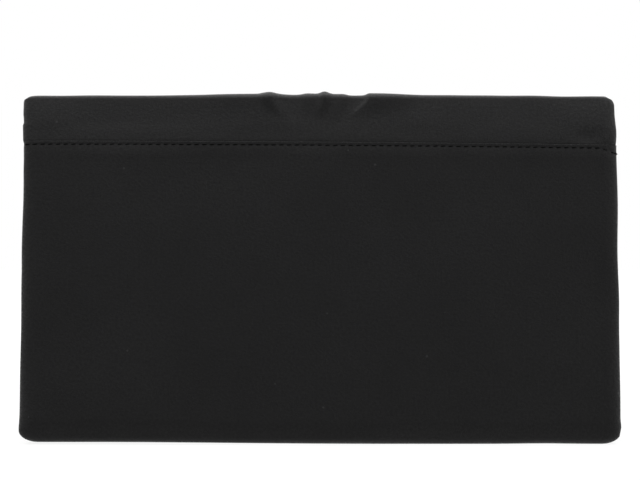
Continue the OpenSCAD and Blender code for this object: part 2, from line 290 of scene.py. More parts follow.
def sheet(name, surface, across, along, outward, height, thickness=0.4, spread=1.0):
    """A sheet of cloth over grid lines, whose height above its surface is height(x, v).

    spread is how many millimetres of cloth there are to one unit of x.
    """
    x, v = np.meshgrid(across, along)
    points = surface(x, v, height(x, v)).reshape(-1, 3)
    faces = facing(points, quad_faces(np.arange(x.size).reshape(x.shape)), outward)
    uv = np.stack([spread * x, v], axis=-1).reshape(-1, 2)
    return thicken(make_mesh(name, points, faces, uv), thickness)


def tube_loop(points, radius, sides, twist):
    """Points of a two-ply thread around a line of centres, rounded off at both ends."""
    centres = np.asarray(points, float)
    steps = np.linspace(0, 1, len(centres))
    tangent = np.gradient(centres, axis=0)
    tangent /= np.linalg.norm(tangent, axis=1)[:, None]
    out = np.cross(tangent, [1.0, 0.3, 0.2])
    out = np.where(np.linalg.norm(out, axis=1)[:, None] < 0.3, np.cross(tangent, [0, 0, 1.0]), out)
    out /= np.linalg.norm(out, axis=1)[:, None]
    side = np.cross(tangent, out)
    angle = np.linspace(0, math.tau, sides, endpoint=False)[None, :]
    taper = np.sqrt(np.clip(1 - (2 * steps - 1) ** 6, 0.05, 1))[:, None]
    ply = 1 + 0.13 * np.cos(2 * angle - twist * steps[:, None])
    r = (radius * taper * ply)[..., None]
    round_it = np.cos(angle)[..., None] * out[:, None] + np.sin(angle)[..., None] * side[:, None]
    return (centres[:, None] + r * round_it).reshape(-1, 3)


def stitches(name, surface, spots, height, radius=0.4, length=2.3):
    """Short lengths of thread that dip into the cloth at both ends.

    Each spot is an x, a v and a direction in them. height(x, v) is the n of the thread's middle.
    """
    sides, rings = 8, 9
    t = np.linspace(-1, 1, rings)
    points, faces = [], []
    for x, v, dx, dv in spots:
        along_x, along_v = x + dx * t * length / 2, v + dv * t * length / 2
        centres = surface(along_x, along_v, height(along_x, along_v) - 0.36 * t**4)
        first = len(points) * rings * sides
        points.append(tube_loop(centres, radius, sides, 9.0))
        faces += tube_faces(first + np.arange(rings * sides).reshape(rings, sides))
    return make_mesh(name, np.vstack(points), faces)


# ---------- The frame's measures ----------

back = Wall("back_panel", 1)
front = Wall("front_panel", -1)
flap = Wall("flap_skin", -1)
joints = {j["name"]: np.array(j["pos_m"]) / MM for j in frame["joints"]}
back_crease = joints["spine_hinge"][1:]
front_crease = joints["flap_hinge"][1:]
panel_high = box_mm("back_panel")[1]
body_w = panel_high[0]
hem_v = back.height(panel_high[2])
mouth_v = front.height(box_mm("front_panel")[1][2])
top_z = box_mm("fold_skin")[1][2]
flap_low, flap_high = box_mm("flap_skin")
flap_w = flap_high[0]
flap_end_z = flap_low[2]
split_y = (back_crease[0] + front_crease[0]) / 2
mouth_row = mouth_v - 1.0 - HEM_TO_STITCH


# ---------- Cloth simulation ----------

def settle(half_w, height, seed):
    """Cloth that is sewn down round a rectangle and pressed out by the padding behind it.

    Returns the grid's lines and the cloth's height over them, 1 at its highest. The cloth has a little
    slack, more in some places than in others, so that it doesn't settle into an even dome.
    """
    cell, frames = 4.0, 24
    xs = lines(-half_w, half_w, None, None, cell)
    vs = lines(0, height, None, None, cell)
    x, v = np.meshgrid(xs, vs)
    dome = (1 - (x / half_w) ** 4) * np.sin(math.pi * v / height)
    piece = make_mesh("settling", np.stack([x, v, 0.5 * dome], axis=-1).reshape(-1, 3),
                      quad_faces(np.arange(x.size).reshape(x.shape)))
    held = piece.vertex_groups.new(name="held")
    held.add(np.flatnonzero(dome < 1e-6).tolist(), 1.0, "REPLACE")
    loose = piece.vertex_groups.new(name="loose")
    for number, slack in enumerate(np.clip(0.5 + 0.5 * soft_noise(x, v, 45, seed), 0, 1).ravel()):
        loose.add([number], float(slack), "REPLACE")
    cloth = piece.modifiers.new("cloth", "CLOTH")
    settings = dict(quality=6, mass=0.15, tension_stiffness=15, compression_stiffness=15, shear_stiffness=5,
                    bending_stiffness=0.5, use_pressure=True, uniform_pressure_force=4.0,
                    vertex_group_mass=held.name, vertex_group_shrink=loose.name,
                    shrink_min=0.0, shrink_max=-0.01)
    for key, value in settings.items():
        setattr(cloth.settings, key, value)
    cloth.settings.effector_weights.gravity = 0.0
    cloth.point_cache.frame_start = 1
    cloth.point_cache.frame_end = frames
    for number in range(1, frames + 1):
        bpy.context.scene.frame_set(number)
    evaluated = piece.evaluated_get(bpy.context.evaluated_depsgraph_get())
    heights = np.array([point.co.z for point in evaluated.data.vertices]).reshape(x.shape)
    bpy.data.objects.remove(piece)
    bpy.context.scene.frame_set(1)
    return xs, vs, np.clip(heights / heights.max(), 0, 1)


def fullness(settled, x, v):
    """The height of settled cloth at x and v, between the lines of its grid. It is 0 outside the grid."""
    xs, vs, heights = settled
    column = np.clip((x - xs[0]) / (xs[1] - xs[0]), 0, len(xs) - 1.001)
    row = np.clip((v - vs[0]) / (vs[1] - vs[0]), 0, len(vs) - 1.001)
    i, j = column.astype(int), row.astype(int)
    a, b = column - i, row - j
    near = (1 - a) * heights[j, i] + a * heights[j, i + 1]
    far = (1 - a) * heights[j + 1, i] + a * heights[j + 1, i + 1]
    return (1 - b) * near + b * far


# ---------- Outlines and relief ----------

def bottom_corner(v):
    """How far a wall's outline draws in near its lower corners."""
    return 8.2 * (1 - quarter((v - WALL_START) / 4.8))


def body_half(v, side):
    """Half width of a wall, with the slight waver of cloth over a board."""
    waver = 0.05 * np.sin(v / 5.5 + 2 * side) + 0.07 * np.sin(v / 13 + side)
    width = body_w + waver * smooth(4, 14, v) - bottom_corner(v)
    bow = 0.2 * np.cos((v - 104.5) / 6.5)
    if side > 0:
        bow = -bow * smooth(70, 80, v) * smooth(122, 112, v)
        return width + bow + 0.35 + 0.15 * smooth(92, 62, v) + 0.3 * hill(v, 5.5, 4)
    tuck = 0.4 * hill(v, 5.0, 0.8) - 0.3 * hill(v, 7.5, 2.2)
    return width + bow * smooth(40, 60, v) + 0.5 - tuck * smooth(3, 5, v)


def side_fall(x):
    """How far a wall's outer face has rolled inward at x, near its sides."""
    return SIDE_DROP * (1 - quarter((body_w + 0.4 - np.abs(x)) / SIDE_EDGE))


def ground_lift(x):
    """How far the base stands up off the ground: it isn't quite flat."""
    return 0.78 * smooth(-30, 105, x) + 0.2 * hill(x, -100, 14)


def foot_shift(x, v):
    """How far a wall's lower rows stand up with the base."""
    return ground_lift(x) * smooth(20, 4, v)


def base_rise(x):
    """The base's cloth curves up at both ends, to meet the gussets."""
    return ground_lift(x) + 1.9 * smooth(116, 126, np.abs(x))


def seam_shift(x):
    """How far the seam on the back rises above its mean height: it slopes a little."""
    return 0.3 + 0.0071 * x - 2.9e-5 * x**2


def stitch_dip(x):
    """How far the seam's stitches drop away from the folded edge, at one end."""
    return 2.1 * smooth(119.0, 127.5, -x)


def stitch_pinch(x):
    """1 where the needle went through, and 0 in the middle of a stitch."""
    return 0.5 - 0.5 * np.cos(math.tau * x / PITCH)


def stitched_edge(x, v, row):
    """The valley that a row of stitches pulls below a folded edge, its needle holes and its puckers."""
    valley = 0.09 * hill(v, row, 1.4)
    holes = 0.09 * hill(v, row, 0.4) * stitch_pinch(x) ** 3
    pucker = 0.04 * (1 - stitch_pinch(x)) * hill(v, row - 1.4, 1.4)
    swell = 0.08 * hill(v, row - 3.8, 2.2)
    return pucker + swell - valley - holes


def foot_bevel(v):
    """The wall draws in a little just above its foot, where its cloth is pulled round the base."""
    return -1.35 * (1 - smooth(1.6, 9.8, v))


def back_relief(x, v):
    wide = 0.16 * soft_noise(x, v, 62, 3) + 0.05 * soft_noise(x, v, 21, 4)
    crown = 0.18 * fullness(back_settled, x, v)
    corner_folds = 0.13 * np.sin(math.tau * v / 2.1) * smooth(112, 123, np.abs(x)) * smooth(11, 7, v)
    seam = stitched_edge(x, v, hem_v - HEM_TO_STITCH - stitch_dip(x))
    return wide * smooth(hem_v, hem_v - 8, v) + crown + corner_folds + foot_bevel(v) + seam


def front_relief(x, v):
    wide = 0.15 * soft_noise(x, v, 58, 13) + 0.05 * soft_noise(x, v, 23, 14)
    crown = 0.3 * fullness(front_settled, x, v)
    return wide * smooth(mouth_v, mouth_v - 8, v) + crown + foot_bevel(v) + stitched_edge(x, v, mouth_row)


# ---------- Cloth that goes over the top ----------

def over_the_top():
    """The outer face of the flap's cloth: up the back wall, leaning in over the top and down the flap."""
    band = ((-9, 0.15), (-4, 0.12), (-1, 0.14), (1.1, 0.2), (2.6, 0.31), (4.5, 0.49), (7, 0.74), (10, 1.08),
            (13, 1.43), (15.3, 1.7))
    points = [back.yz(hem_v + up, -n) for up, n in band]
    y0, z0 = back_crease
    y1, z1 = front_crease
    crown = top_z + 0.5
    points += [(y0 + 1.35, z0 + 1.4), (y0 + 0.95, z0 + 3.0), (y0 + 0.2, crown - 0.35), (y0 - 1.1, crown)]
    points += [(split_y - 0.3, crown), (y1 + 1.1, crown - 0.4), (y1 - 0.8, z1 + 2.8), (y1 - 2.3, z1 + 0.8)]
    for below, n in ((1.6, 0.45), (5, 0.15), (10, 0), (40, 0), (70, 0)):
        points.append(flap.yz(flap.height(z1 - below), -n))
    points.append(flap.yz(flap.height(flap_end_z + 0.5), 0))
    return Path(points)


top = over_the_top()
top_seam = top.nearest(*back.yz(hem_v, 0))
top_split = top.nearest(split_y, top_z + 0.3)
top_crest = top.nearest(back_crease[0] - 1.1, top_z + 0.5)
top_end = top.length[-1]


def fold_half(v, side):
    """Half width of the flap's cloth: it draws in over the top, which rounds the upper corners."""
    z = top.yz(v)[1]
    corner_w, corner_h = (3.9, 2.6) if side > 0 else (5.0, 4.2)
    upper = corner_w * (1 - quarter((top_z + 0.55 - z) / corner_h))
    tucked = 0.4 * smooth(top_seam + 1.2, top_seam - 1.5, v)
    lower = 9.0 * (1 - quarter((top_end - v) / 9.0))
    above = v - top_seam
    if side > 0:
        swell = 0.3 * smooth(10, 14, above) + 0.35 * smooth(8.8, 8.0, above) * np.clip(above / 8, 0, 1)
        return flap_w + 1.2 + swell - upper - tucked - lower
    return flap_w + 0.6 + 0.52 * hill(above, 5.5, 4.5) - upper - tucked - lower


# Each pleat has three values for its x, its height and its widths toward -X and +X: at the seam, over
# the top and at the flap's hem. A negative height makes a furrow.
Pleat = namedtuple("Pleat", "x height minus plus")
PLEATS = (
    Pleat((11.0, 22.0, 66.0), (0.0, 0.85, 0.7), (3.0, 3.4, 8.0), (3.0, 3.0, 16.0)),
    Pleat((3.8, -2.0, 1.0), (0.1, 1.2, 0.7), (1.6, 2.6, 8.0), (1.6, 2.2, 8.0)),
    Pleat((-3.8, -22.0, -62.0), (0.0, 0.9, 0.7), (3.0, 15.0, 16.0), (1.4, 1.7, 8.0)),
    Pleat((6.4, 5.2, 31.0), (0.0, 0.65, 0.75), (3.0, 7.0, 11.0), (1.6, 2.6, 6.0)),
    Pleat((-1.2, -9.8, -29.0), (0.06, 0.65, 0.75), (1.6, 2.4, 6.0), (3.0, 7.0, 11.0)),
    Pleat((8.8, 12.5, 48.0), (-0.08, -0.1, -0.55), (1.2, 3.0, 3.0), (1.8, 3.0, 3.0)),
    Pleat((-4.8, -16.0, -45.0), (-0.06, -0.05, -0.55), (1.6, 2.0, 3.0), (1.6, 3.0, 3.0)),
    Pleat((5.0, 2.2, 15.5), (0.0, 0.0, -0.55), (1.6, 2.0, 2.6), (1.6, 2.0, 2.6)),
    Pleat((0.5, -6.0, -14.0), (0.0, 0.0, -0.55), (1.6, 2.0, 2.6), (1.6, 2.0, 2.6)),
)


def along_pleat(v, values, start=top_seam):
    """A pleat's value at v. It changes from start to the top, and again from the top to the hem."""
    seam, over, hem = values
    up = seam + (over - seam) * smooth(start, top_crest - 0.5, v)
    down = over + (hem - over) * np.clip((v - top_crest) / (top_end - top_crest), 0, 1) ** 0.85
    return np.where(v < top_crest, up, down)


def gathers(x, v):
    """The pleats' height, and the cloth's broad rise and fall along the top edge."""
    total = np.zeros_like(x)
    for pleat in PLEATS:
        offset = x - along_pleat(v, pleat.x)
        width = np.where(offset > 0, along_pleat(v, pleat.plus), along_pleat(v, pleat.minus))
        total += along_pleat(v, pleat.height, top_crest - 13) * hill(offset, 0, width)
    broad = 0.7 * hill(x, 29, 25) - 0.3 * smooth(90, 118, x) - 0.5 * smooth(86, 118, -x)
    fade = smooth(top_seam - 1, top_seam + 2, v) * (1 - 0.75 * smooth(top_end - 46, top_end - 4, v))
    return total * fade + broad * hill(v, top_crest, 8)


def fold_relief(x, v):
    wide = 0.14 * soft_noise(x, v, 48, 23) + 0.05 * soft_noise(x, v, 16, 24)
    dent = 0.4 * hill(x, -114, 5) * hill(v, top_seam + 3, 3)
    padded = 0.9 * fullness(flap_settled, x, v - top_split)
    return gathers(x, v) + wide * smooth(top_seam + 3, top_seam + 10, v) + padded - dent


def fold_drop(v):
    """Depth of the cloth's side edges: less where it leaves the walls to cross the spine."""
    on_back = smooth(top_crest, top_crest - 4, v)
    tucked = smooth(top_seam + 1, top_seam - 3, v)
    on_flap = smooth(top_split + 2, top_split + 9, v)
    return 0.5 + 2.1 * on_back - 1.2 * tucked + 1.3 * on_flap


def fold_depth(x, v):
    """Depth of the turned-in border, which always lies below the side edges."""
    on_spine = smooth(top_crest - 4, top_crest, v) * smooth(top_split + 9, top_split + 2, v)
    return fold_drop(v) + 1.1 + 0.6 * on_spine


def band_place(x, v, n):
    """A place on the cloth above the back wall. It dives behind the folded edge along the sloping seam."""
    below = top_seam + seam_shift(x) - v
    tuck = 0.15 * smooth(-0.35, 0.1, below) + 0.6 * smooth(-0.1, 1.0, below) + 0.5 * smooth(1.2, 9, below)
    return top.place(x, v, n - tuck)


def fold_shift(x, v):
    return seam_shift(x) * smooth(top_seam + 12, top_seam + 1, v)


back_settled = settle(body_w, hem_v, 5)
front_settled = settle(body_w, mouth_v, 6)
flap_settled = settle(flap_w, top_end - top_split, 7)


# ---------- Materials ----------

class Nodes:
    """A node tree. node() adds one node, and its inputs are values or other nodes' outputs."""

    def __init__(self, owner):
        owner.use_nodes = True
        self.tree = owner.node_tree
        self.tree.nodes.clear()

    def node(self, kind, inputs=None, **settings):
        made = self.tree.nodes.new("ShaderNode" + kind)
        for key, value in settings.items():
            setattr(made, key, value)
        for key, value in (inputs or {}).items():
            if isinstance(value, bpy.types.NodeSocket):
                self.tree.links.new(value, made.inputs[key])
            else:
                made.inputs[key].default_value = value
        return made

    def math(self, operation, a, b=0.0):
        return self.node("Math", {0: a, 1: b}, operation=operation).outputs[0]

    def mean(self, a, b):
        return self.math("MULTIPLY", self.math("ADD", a, b), 0.5)

    def coordinate(self, kind="Object"):
        return self.node("TexCoord").outputs[kind]

    def stretched(self, vector, scale):
        return self.node("Mapping", {"Vector": vector, "Scale": scale}).outputs[0]

    def axis(self, vector, number):
        return self.node("SeparateXYZ", {0: vector}).outputs[number]

    def noise(self, vector, scale, detail=2.0, roughness=0.5):
        return self.node("TexNoise", {"Vector": vector, "Scale": scale, "Detail": detail,
                                      "Roughness": roughness}).outputs["Fac"]

    def remap(self, value, low, high, to_low, to_high, **settings):
        inputs = {0: value, 1: low, 2: high, 3: to_low, 4: to_high}
        return self.node("MapRange", inputs, **settings).outputs[0]

    def blend(self, factor, a, b):
        return self.node("Mix", {0: factor, 6: a, 7: b}, data_type="RGBA").outputs[2]

    def bump(self, height, distance_mm, strength, **under):
        """A bump's normal. Another bump's normal may be given as what lies under it."""
        inputs = {"Height": height, "Distance": distance_mm * MM, "Strength": strength, **under}
        return self.node("Bump", inputs).outputs[0]

    def seen_or_lit(self, seen, lit):
        """One shader for what the camera sees, and another for the light that reaches the purse."""
        camera_ray = self.node("LightPath").outputs["Is Camera Ray"]
        return self.node("MixShader", {0: camera_ray, 1: lit.outputs[0], 2: seen.outputs[0]}).outputs[0]


class Graph(Nodes):
    """The nodes of a new material."""

    def __init__(self, name):
        self.material = bpy.data.materials.new(name)
        super().__init__(self.material)

    def finish(self, **inputs):
        """Adds the surface, whose inputs are named with _ for a space, and returns the material."""
        named = {key.replace("_", " "): value for key, value in inputs.items()}
        surface = self.node("BsdfPrincipled", named)
        self.node("OutputMaterial", {0: surface.outputs[0]})
        return self.material


def grey(level):
    return (level, level, level, 1.0)


def tint(base, factor=1.0, lift=0.0):
    """The base colour, made brighter or darker."""
    return (*(c * factor + lift for c in base), 1.0)


def woven(name, base, pitch, roughness, sheen, grain, lint):
    """Fine plain-woven cloth: threads over and under, blotches, worn edges and a few specks of lint."""
    g = Graph(name)
    uv = g.coordinate("UV")
    space = g.coordinate()
    wander = g.noise(uv, 0.35)
    turn = math.tau / pitch
    warp, weft = (g.math("SINE", g.math("ADD", g.math("MULTIPLY", g.axis(uv, number), turn), wander))
                  for number in (0, 1))
    weave = g.math("MULTIPLY", warp, weft)
    slub = g.noise(uv, 0.85, 3.0, 0.7)
    blotch = g.noise(space, 130.0, 4.0, 0.6)
    cloud = g.noise(space, 24.0)
    nap = g.math("MULTIPLY", g.remap(slub, 0.3, 0.7, 1 - 3.6 * grain, 1 + 3.6 * grain),
                 g.remap(cloud, 0.3, 0.7, 1 - 0.8 * grain, 1 + 0.8 * grain))
    tone = g.blend(g.mean(slub, blotch), tint(base, 1 - 3 * grain), tint(base, 1 + 3 * grain))
    wear = g.remap(g.node("NewGeometry").outputs["Pointiness"], 0.5, 0.56, 0.0, 0.5)
    worn = g.blend(wear, tone, tint(base, 2.0, 0.004))
    cells = g.node("TexVoronoi", {"Vector": space, "Scale": 95.0})
    chosen = g.math("GREATER_THAN", g.node("SeparateColor", {0: cells.outputs["Color"]}).outputs[0], 0.7)
    speck = g.math("MULTIPLY", g.math("LESS_THAN", cells.outputs["Distance"], 0.05), chosen)
    linty = g.blend(g.math("MULTIPLY", speck, lint), worn, grey(0.3))
    return g.finish(Base_Color=linty, Roughness=g.remap(slub, 0.3, 0.7, roughness - 0.06, roughness + 0.06),
                    Sheen_Weight=g.math("MULTIPLY", nap, sheen), Sheen_Roughness=0.45,
                    Specular_IOR_Level=0.25,
                    Normal=g.bump(slub, 0.2, 0.7, Normal=g.bump(weave, 0.05, 0.5)))


def satin(name, base):
    """Lining satin: a soft sheen that runs along the threads, with fine slubs."""
    g = Graph(name)
    uv = g.coordinate("UV")
    threads = g.noise(g.stretched(uv, (0.35, 5.0, 1.0)), 1.0, 3.0, 0.65)
    folds = g.noise(uv, 0.05)
    return g.finish(Base_Color=g.blend(g.mean(threads, folds), tint(base, 0.8), tint(base, 1.2)),
                    Roughness=g.remap(threads, 0.3, 0.7, 0.32, 0.46), Anisotropic=0.5,
                    Sheen_Weight=0.15, Specular_IOR_Level=0.5,
                    Normal=g.bump(threads, 0.04, 0.5, Normal=g.bump(folds, 0.6, 0.5)))


def thread(name, base):
    """Sewing thread: fibres along its length."""
    g = Graph(name)
    fibres = g.noise(g.stretched(g.coordinate(), (900, 5200, 5200)), 1.0)
    return g.finish(Base_Color=g.blend(fibres, tint(base, 0.7), tint(base, 1.4)), Roughness=0.7,
                    Specular_IOR_Level=0.06, Normal=g.bump(fibres, 0.03, 0.5))


def pressed_board(name, base):
    """Pressed board: flecks of fibre in a dull ground."""
    g = Graph(name)
    space = g.coordinate()
    flecks = g.noise(g.stretched(space, (300, 900, 900)), 1.0, 4.0, 0.7)
    cloud = g.noise(space, 60.0)
    return g.finish(Base_Color=g.blend(g.mean(flecks, cloud), tint(base, 0.7), tint(base, 1.25)),
                    Roughness=0.85, Specular_IOR_Level=0.2, Normal=g.bump(flecks, 0.08, 0.6))


def foam(name, base):
    """Open-celled foam."""
    g = Graph(name)
    cells = g.node("TexVoronoi", {"Vector": g.coordinate(), "Scale": 1600.0}).outputs["Distance"]
    return g.finish(Base_Color=g.blend(cells, tint(base, 0.75), tint(base)), Roughness=0.95,
                    Specular_IOR_Level=0.1, Normal=g.bump(cells, 0.15, 0.8))


def metal(name, base, roughness):
    """Plated metal with a fine brushed grain, duller where it has been handled."""
    g = Graph(name)
    space = g.coordinate()
    brush = g.noise(g.stretched(space, (300, 6000, 6000)), 1.0, 3.0, 0.7)
    smears = g.noise(space, 260.0, 3.0)
    return g.finish(Base_Color=g.blend(smears, tint(base, 0.88), tint(base)), Metallic=1.0,
                    Roughness=g.remap(smears, 0.35, 0.65, roughness - 0.06, roughness + 0.08),
                    Normal=g.bump(brush, 0.012, 0.4))


black_cloth = woven("black_cloth", (0.0045, 0.0045, 0.0047), pitch=0.34, roughness=0.62, sheen=0.36,
                    grain=0.25, lint=0.06)
black_thread = thread("black_thread", (0.003, 0.003, 0.003))
lining_satin = satin("lining_satin", (0.15, 0.135, 0.118))
lining_thread = thread("lining_thread", (0.13, 0.115, 0.1))
grey_board = pressed_board("grey_board", (0.36, 0.29, 0.2))
pale_foam = foam("pale_foam", (0.72, 0.71, 0.66))
nickel = metal("nickel", (0.66, 0.65, 0.62), 0.24)
dark_magnet = metal("dark_magnet", (0.16, 0.16, 0.17), 0.4)


# ---------- Putting pieces in place ----------

def finish_piece(piece, material, slot, *nodes, body=None):
    """Gives a piece its material, hides the CAD nodes it shows and ties it to its body. The slot is not
    used.
    """
    piece.data.materials.append(material)
    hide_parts(*nodes)
    if body:
        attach(piece, body)


def bend_between(piece):
    """Bakes a piece's placement into its mesh."""
    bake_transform(piece)


def dress(node, material, ease=0.15):
    """Gives a CAD node its material, and eases its edges with modifiers."""
    part = frame["nodes"][node]
    for slot in part.material_slots:
        slot.material = material
    if not part.material_slots:
        part.data.materials.append(material)
    part.modifiers.new("weld", "WELD").merge_threshold = 1e-6
    bevel = part.modifiers.new("ease", "BEVEL")
    bevel.width = ease * MM
    bevel.segments = 2
    bevel.limit_method = "ANGLE"
    bevel.angle_limit = math.radians(50)


def padding_half(v, side):
    """Half width of a wall's padding. It is narrower behind the flap's root."""
    return body_half(v, side) - 2.4 - 2.5 * smooth(hem_v - 4, hem_v + 2, v)


def build_padding(name, wall, body, high, relief):
    """A wall's foam, from near its foot up to a height along the wall."""
    pad = wrap(f"{name}_padding", lambda x, v, n: wall.place(x, v, n - CLOTH_T - 0.35), padding_half,
               (2.2, high), (0, wall.side, 0), drop=1.1, depth=1.5, relief=relief, ends=(7, 5),
               ring=None, step=2.5)
    finish_piece(pad, pale_foam, "foam", f"{name}_foam", body=body)


def build_card(name, wall, body):
    """A wall's stiffener, with its lower corners cut to suit the wall's outline."""
    high = wall.height(box_mm(f"{name}_board")[1][2])

    def half(v, side):
        return body_half(v, side) - 1.7 - 1.5 * smooth(hem_v, hem_v + 6, v)

    card = wrap(f"{name}_card", lambda x, v, n: wall.place(x, v, n - 2.5), half, (2.6, high - 0.4),
                (0, wall.side, 0), drop=0.2, depth=1.1, ends=(0.5, 0.5), side_edge=0.5, ring=None, step=3.0)
    finish_piece(card, grey_board, "board", f"{name}_board", body=body)


# ---------- Back wall ----------

def hem_depth(x, v):
    """Behind the folded edge the cloth is only turned over, and elsewhere it goes round the board."""
    near_edge = smooth(hem_v - 14, hem_v - 8, v) * smooth(3, 9, body_w - np.abs(x))
    return TURN_IN - (TURN_IN - HEM_T) * near_edge


def rows_for_stitches(low, high):
    """Rows that are close together near the foot and near a stitched edge."""
    coarse = lines(low, high - 8, 5.5, None, 1.3)
    fine = lines(high - 8, high, None, 0.8, 0.28)
    return np.concatenate([coarse, fine[1:]])


def build_back():
    rows = rows_for_stitches(WALL_START, hem_v)

    def shift(x, v):
        return seam_shift(x) * smooth(50, 112, v) + foot_shift(x, v)

    cover = wrap("back_cover", back.place, body_half, (WALL_START, hem_v), (0, 1, 0), depth=hem_depth,
                 relief=back_relief, ends=(2.2, 1.1), top_drop=HEM_T / 6, step=PITCH / 6, rows=rows,
                 width=body_w, shift=shift)
    finish_piece(cover, black_cloth, "black_cloth", "back_panel", body="body")

    def padding_relief(x, v):
        behind_band = 1.0 * smooth(hem_v - 14, hem_v - 9, v) + 0.7 * smooth(hem_v + 2, hem_v + 9, v)
        return 0.1 + foot_bevel(v) - behind_band

    build_padding("back", back, "body", back.height(box_mm("back_foam")[1][2]) - 1.0, padding_relief)
    build_card("back", back, "body")


def seam_spots(row):
    """A stitch at every pitch across a wall, along the row v = row(x)."""
    count = int((2 * body_w + 1) / PITCH)
    xs = (np.arange(count) - (count - 1) / 2) * PITCH
    return [(x, row(x), 1.0, row(x + 0.5) - row(x - 0.5)) for x in xs]


def thread_height(x, v):
    return -0.3 - side_fall(x)


def build_seam_stitches():
    def row(x):
        return hem_v - HEM_TO_STITCH + seam_shift(x) - stitch_dip(x)

    loose_end = (-body_w + 0.3, row(-body_w), 1.0, 0.1)
    piece = stitches("seam_stitches", back.place, seam_spots(row) + [loose_end], thread_height)
    finish_piece(piece, black_thread, "thread", "root_stitches", body="body")


def build_over_the_top():
    crest_rows = stretches(0, (top_seam - 1.5, 1.2), (top_seam + 1.5, 0.16), (top_seam + 16, 0.8),
                           (top_split, 0.45))
    band = wrap("top_band", band_place, fold_half, (0, top_split), (0, 1, 1), drop=fold_drop,
                depth=fold_depth, relief=fold_relief, ends=(None, None), ring=5, step=0.75,
                rows=crest_rows, width=flap_w, shift=fold_shift)
    finish_piece(band, black_cloth, "black_cloth", "flap_root", "fold_skin")
    bend_between(band)

    flap_rows = np.concatenate([lines(top_split, top_split + 9, None, None, 0.45),
                                lines(top_split + 9, top_end, None, 4.0, 1.0)[1:]])
    cover = wrap("flap_cover", top.place, fold_half, (top_split, top_end), (0, -1, 0.3), drop=fold_drop,
                 depth=fold_depth, relief=fold_relief, ends=(None, 4.0), ring=7.5, step=0.75,
                 rows=flap_rows, width=flap_w)
    finish_piece(cover, black_cloth, "black_cloth", "flap_skin")
    bend_between(cover)


def strip(name, outline, half_x, round_x):
    """A bar along X, whose outline runs from +Y toward +Z, with both ends rounded off."""
    middle = outline.mean(axis=0)
    across = lines(-half_x, half_x, round_x, round_x, 3.0)
    size = np.maximum(quarter((half_x - np.abs(across)) / round_x), 0.05)
    rings = middle + (outline - middle) * size[:, None, None]
    points = at(across[:, None], rings[..., 0], rings[..., 1])
    grid = np.arange(rings[..., 0].size).reshape(rings.shape[:2])
    return make_mesh(name, points.reshape(-1, 3), tube_faces(grid))


def build_fold_padding():
    low, high = box_mm("fold_foam")
    y0, y1 = low[1] + 0.2, high[1] - 0.5
    z0, z1 = low[2], high[2] - 0.1
    angle = np.linspace(0, math.tau, 28, endpoint=False)

    def squarer(wave):
        return np.sign(wave) * np.abs(wave) ** 0.6

    ys = (y0 + y1) / 2 + (y1 - y0) / 2 * squarer(np.cos(angle))
    zs = (z0 + z1) / 2 + (z1 - z0) / 2 * squarer(np.sin(angle))
    pad = strip("fold_padding", np.stack([ys, zs], axis=1), high[0] - 4, 3.0)
    finish_piece(pad, pale_foam, "foam", "fold_foam", body="spine")


# ---------- Flap ----------

def build_flap_inside():
    low = box_mm("flap_foam")[0][2] + 2

    def place(x, v, n):
        return flap.place(x, v, n - CLOTH_T - 0.3)

    span = (flap.height(low), flap.height(front_crease[1] - 3))
    pad = wrap("flap_padding", place, lambda v, side: flap_w - 2.5, span, (0, -1, 0), drop=0.8,
               depth=0.95, relief=lambda x, v: -0.25, ends=(4, 4), ring=None, step=2.5)
    finish_piece(pad, pale_foam, "foam", "flap_foam", body="flap")
    dress("flap_board", grey_board)


# ---------- Front wall ----------

def build_front():
    rows = rows_for_stitches(WALL_START, mouth_v)
    cover = wrap("front_cover", front.place, body_half, (WALL_START, mouth_v), (0, -1, 0),
                 relief=front_relief, ends=(2.2, 0.8), top_drop=1.9, step=PITCH / 6, rows=rows,
                 width=body_w, shift=foot_shift)
    finish_piece(cover, black_cloth, "black_cloth", "front_panel", body="front")
    build_padding("front", front, "front", mouth_v - 2.5, lambda x, v: 0.1 + foot_bevel(v))
    build_card("front", front, "front")
    piece = stitches("mouth_stitching", front.place, seam_spots(lambda x: mouth_row), thread_height)
    finish_piece(piece, black_thread, "thread", "mouth_stitches", body="front")


# ---------- Base and gussets ----------

def base_place(x, v, n):
    """A place on the base, where n is downward."""
    return at(x, v, base_rise(x) - n)


def build_base_cover():
    half_depth, corner = 17.3, 6.0

    def half(v, side):
        return body_w - 1.4 - corner * (1 - quarter((half_depth - np.abs(v)) / corner))

    cover = wrap("base_cover", base_place, half, (-half_depth, half_depth), (0, 0, -1), drop=0.75, depth=1.2,
                 relief=lambda x, v: -0.05 + 0.03 * soft_noise(x, v, 40, 31), ends=(2.2, 2.2),
                 side_edge=2.2, ring=6, step=2.0)
    finish_piece(cover, black_cloth, "black_cloth", "base_panel", body="body")


def build_base_card():
    low, high = box_mm("base_board")
    card_w = 115.0  # it stops where the base's cloth curves up
    skin = 0.75

    def place(x, v, n):
        return base_place(x, v + (low[1] + high[1]) / 2, n - skin)

    def depth(x, v):
        return high[2] - base_rise(x) - skin

    half_deep = (high[1] - low[1]) / 2
    card = wrap("base_card", place, lambda v, side: card_w, (-half_deep, half_deep), (0, 0, -1),
                drop=0.2, depth=depth, ends=(0.6, 0.6), side_edge=0.6, ring=None, step=2.5)
    finish_piece(card, grey_board, "board", "base_board", body="body")


